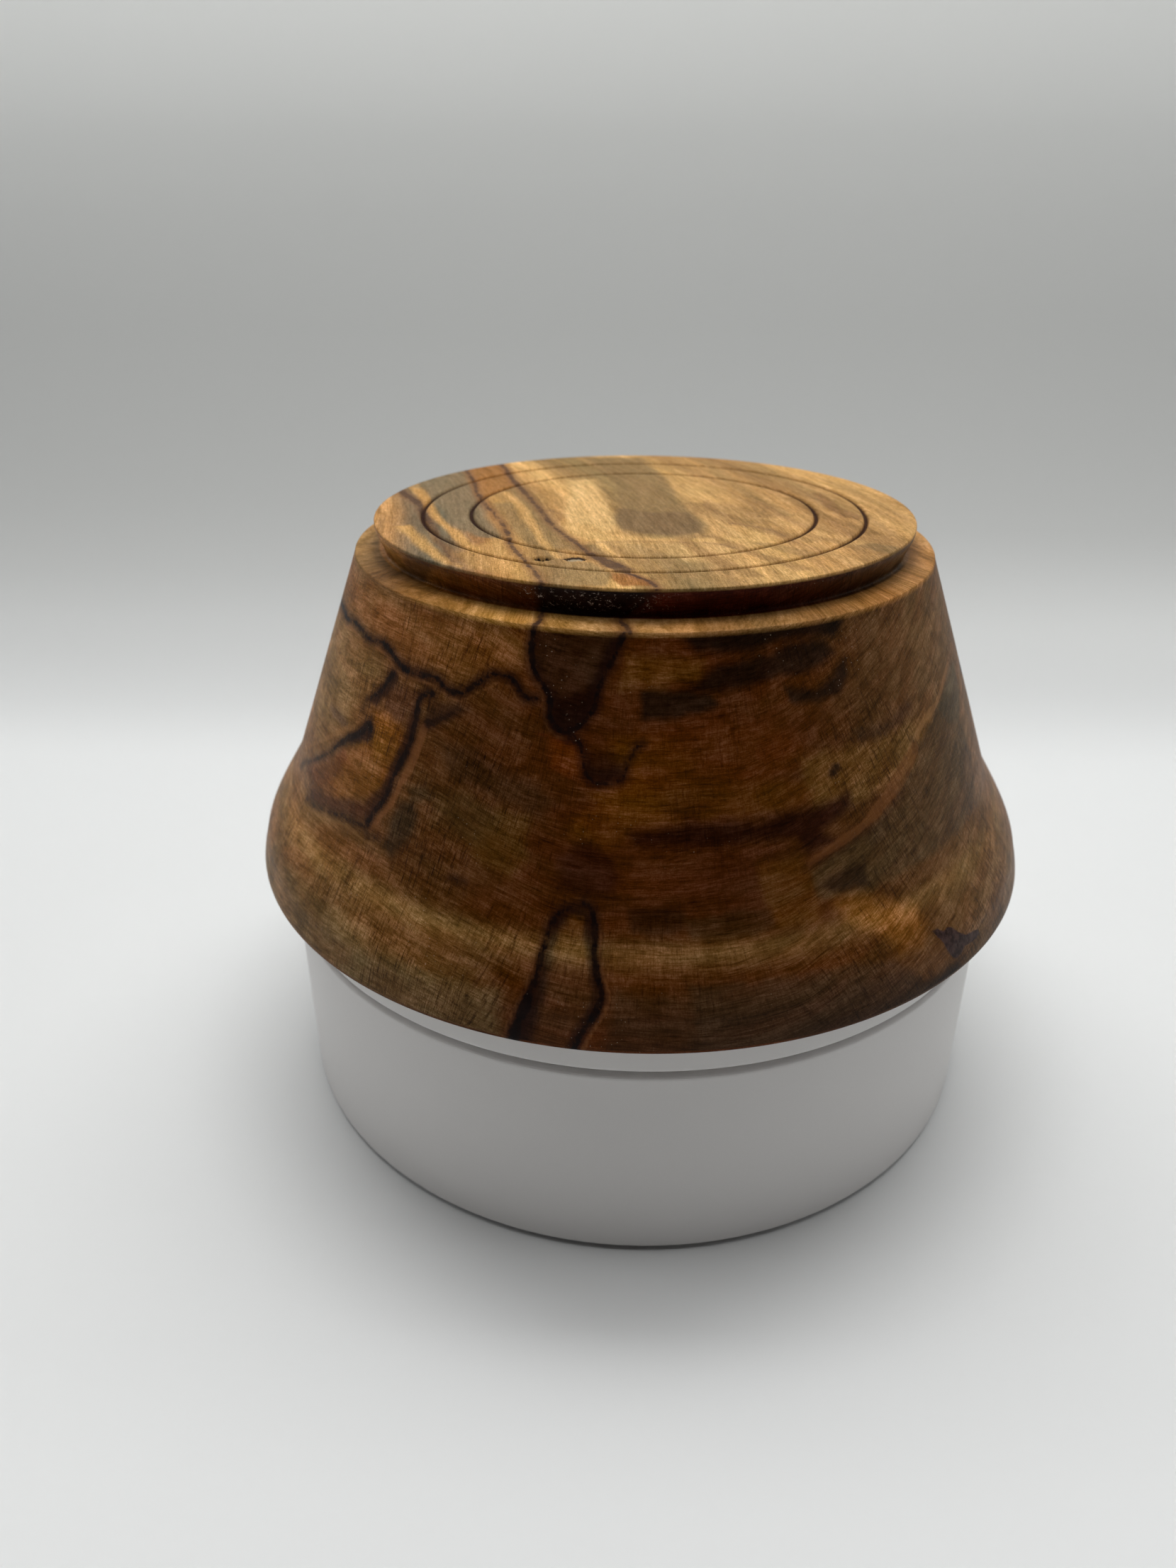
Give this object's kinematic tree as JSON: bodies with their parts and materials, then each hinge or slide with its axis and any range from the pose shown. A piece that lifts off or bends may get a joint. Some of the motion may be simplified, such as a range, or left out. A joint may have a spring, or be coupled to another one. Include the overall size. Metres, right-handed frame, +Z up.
{
  "type": "shaving mug",
  "caption": "Turned wooden lather bowl with a ringed foot, standing mouth-down on a low round white turning display stand.",
  "frame": {"origin": "centre of the underside of the stand's rubber feet, on the axis that the stand and the mug share", "axes": "+Z up along the turning axis, from the table through the stand to the mug's foot; -Y towards the viewer; the mug is stored mouth-down, so its mouth faces -Z and its foot faces +Z"},
  "size_m": [0.1164, 0.1164, 0.0867],
  "materials": {
    "spalted_wood": "oiled and buffed satin, dark brown with black spalting lines, tan end grain on the foot",
    "white_plastic": "fine satin moulded white",
    "bearing_steel": "ground",
    "zinc_steel": "zinc plated",
    "ball_chrome": "polished",
    "natural_nylon": "moulded",
    "bush_bronze": "sintered",
    "foot_rubber": "matt"
  },
  "bodies": {
    "stand_base": {"drum_shell": "white_plastic", "lower_race": "bearing_steel", "pivot_bush": "bush_bronze", "base_cover": "white_plastic", "cover_screws": "zinc_steel", "rubber_feet": "foot_rubber"},
    "turning_plate": {"platter": "white_plastic", "upper_race": "bearing_steel", "spindle": "bearing_steel", "retaining_washer": "zinc_steel", "retaining_screw": "zinc_steel"},
    "ball_ring": {"ball_cage": "natural_nylon", "bearing_balls": "ball_chrome"},
    "mug": {"mug_body": "spalted_wood"}
  },
  "joints": [
    {"name": "platter_spin", "type": "hinge", "parent": "stand_base", "child": "turning_plate", "pos_m": [0, 0, 0.0334], "axis": [0, 0, 1], "continuous": true},
    {"name": "cage_spin", "type": "hinge", "parent": "stand_base", "child": "ball_ring", "pos_m": [0, 0, 0.03035], "axis": [0, 0, 1], "continuous": true},
    {"name": "mug_lift", "type": "slide", "parent": "turning_plate", "child": "mug", "axis": [0, 0, 1], "range_m": [0, 0.12]}
  ],
  "couplings": [
    {"joint": "cage_spin", "follows": "platter_spin", "ratio": 0.5}
  ]
}
